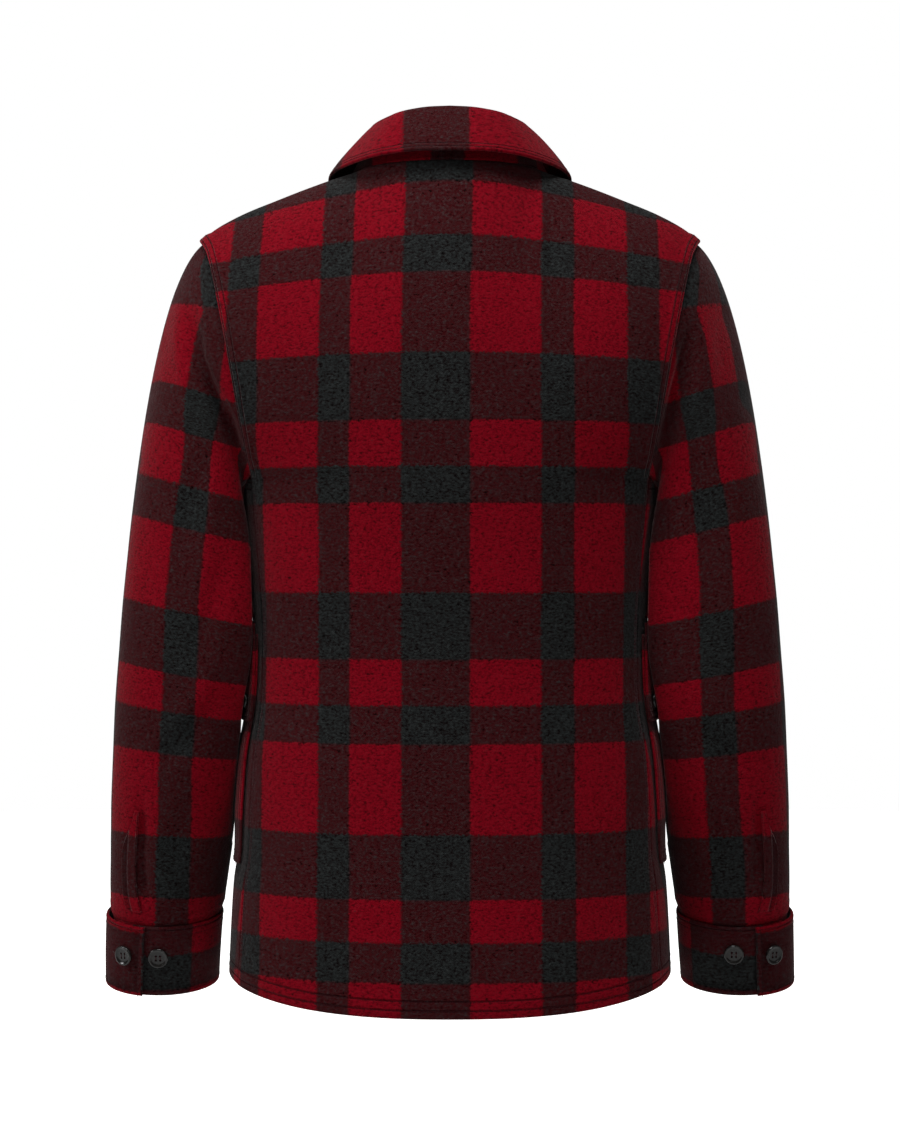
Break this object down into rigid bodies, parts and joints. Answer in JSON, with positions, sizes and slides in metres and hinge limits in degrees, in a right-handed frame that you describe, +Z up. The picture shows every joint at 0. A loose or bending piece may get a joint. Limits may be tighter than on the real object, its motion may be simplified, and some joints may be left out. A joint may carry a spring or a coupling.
{
  "type": "wool overshirt",
  "caption": "Long-sleeved checked wool overshirt in its worn, hollow form: fold-over collar, button front, flapped lower pockets, buttoned cuffs and a curved hem.",
  "frame": {"origin": "middle of the base of the wearer's neck, on the line of the shoulder seams", "axes": "+X to the wearer's left, +Y to the wearer's back, +Z up"},
  "size_m": [0.6282, 0.2599, 0.7902],
  "materials": {
    "wool_check": "napped wool, red and black check",
    "button": "polished dark resin with four holes"
  },
  "bodies": {
    "root": {"back": "wool_check", "front_left": "wool_check", "front_right": "wool_check", "sleeve_left": "wool_check", "sleeve_right": "wool_check", "vent_left": "wool_check", "vent_right": "wool_check", "cuff_left": "wool_check", "cuff_right": "wool_check", "collar_stand": "wool_check", "collar_fall": "wool_check", "pocket_left": "wool_check", "pocket_right": "wool_check", "flap_left": "wool_check", "flap_right": "wool_check", "welt_left": "wool_check", "welt_right": "wool_check", "front_button_1": "button", "front_button_2": "button", "front_button_3": "button", "front_button_4": "button", "front_button_5": "button", "front_button_6": "button", "flap_button_left_1": "button", "flap_button_left_2": "button", "flap_button_right_1": "button", "flap_button_right_2": "button", "cuff_button_left_1": "button", "cuff_button_left_2": "button", "cuff_button_right_1": "button", "cuff_button_right_2": "button"}
  },
  "joints": []
}
